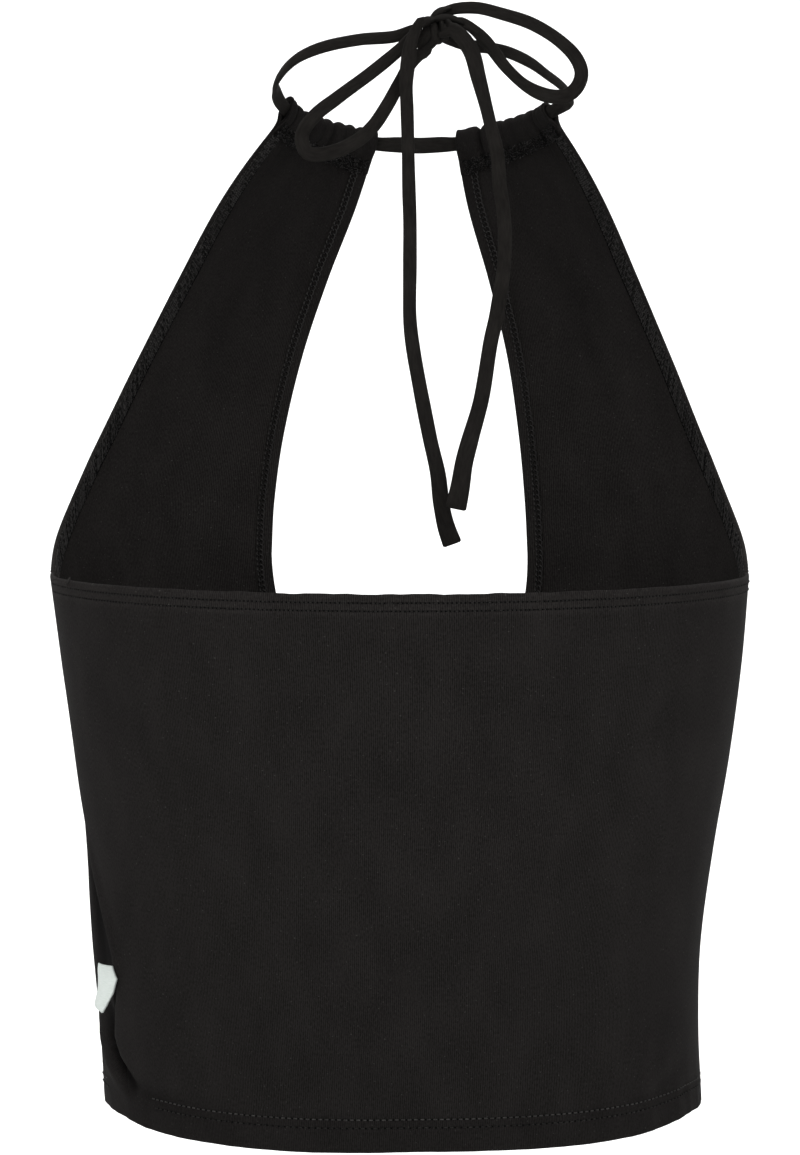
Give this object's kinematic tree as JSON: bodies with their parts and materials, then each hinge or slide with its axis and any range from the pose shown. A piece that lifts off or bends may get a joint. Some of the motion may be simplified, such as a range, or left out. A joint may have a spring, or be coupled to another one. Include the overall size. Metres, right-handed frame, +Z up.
{
  "type": "halter neck top",
  "caption": "Cropped jersey halter top, filled out as worn: wide back band, front lobes round a teardrop keyhole up to gathered casings, and a drawstring tied in a bow at the nape.",
  "frame": {"origin": "the middle of the neck, at the mean height of the string round it, where the wearer's neck holds the top up", "axes": "+X to the wearer's right, +Y the way the wearer faces, +Z up"},
  "size_m": [0.2971, 0.2192, 0.465],
  "materials": {
    "black_jersey": "matt fine single jersey",
    "black_jersey_inside": "matt jersey, wrong side",
    "black_tie": "matt flat jersey rouleau",
    "label_satin": "pale woven satin, blank"
  },
  "bodies": {
    "root": {"back_panel": "black_jersey", "front_panel": "black_jersey", "back_top_hem": "black_jersey_inside", "bottom_hem_back": "black_jersey_inside", "bottom_hem_front": "black_jersey_inside", "armhole_hem_left": "black_jersey_inside", "armhole_hem_right": "black_jersey_inside", "keyhole_hem": "black_jersey_inside", "casing_left": "black_jersey_inside", "casing_right": "black_jersey_inside", "drawstring_neck": "black_tie", "bow_knot": "black_tie", "bow_loop_left": "black_tie", "bow_loop_right": "black_tie", "tail_left": "black_tie", "tail_right": "black_tie", "side_label": "label_satin"}
  },
  "joints": []
}
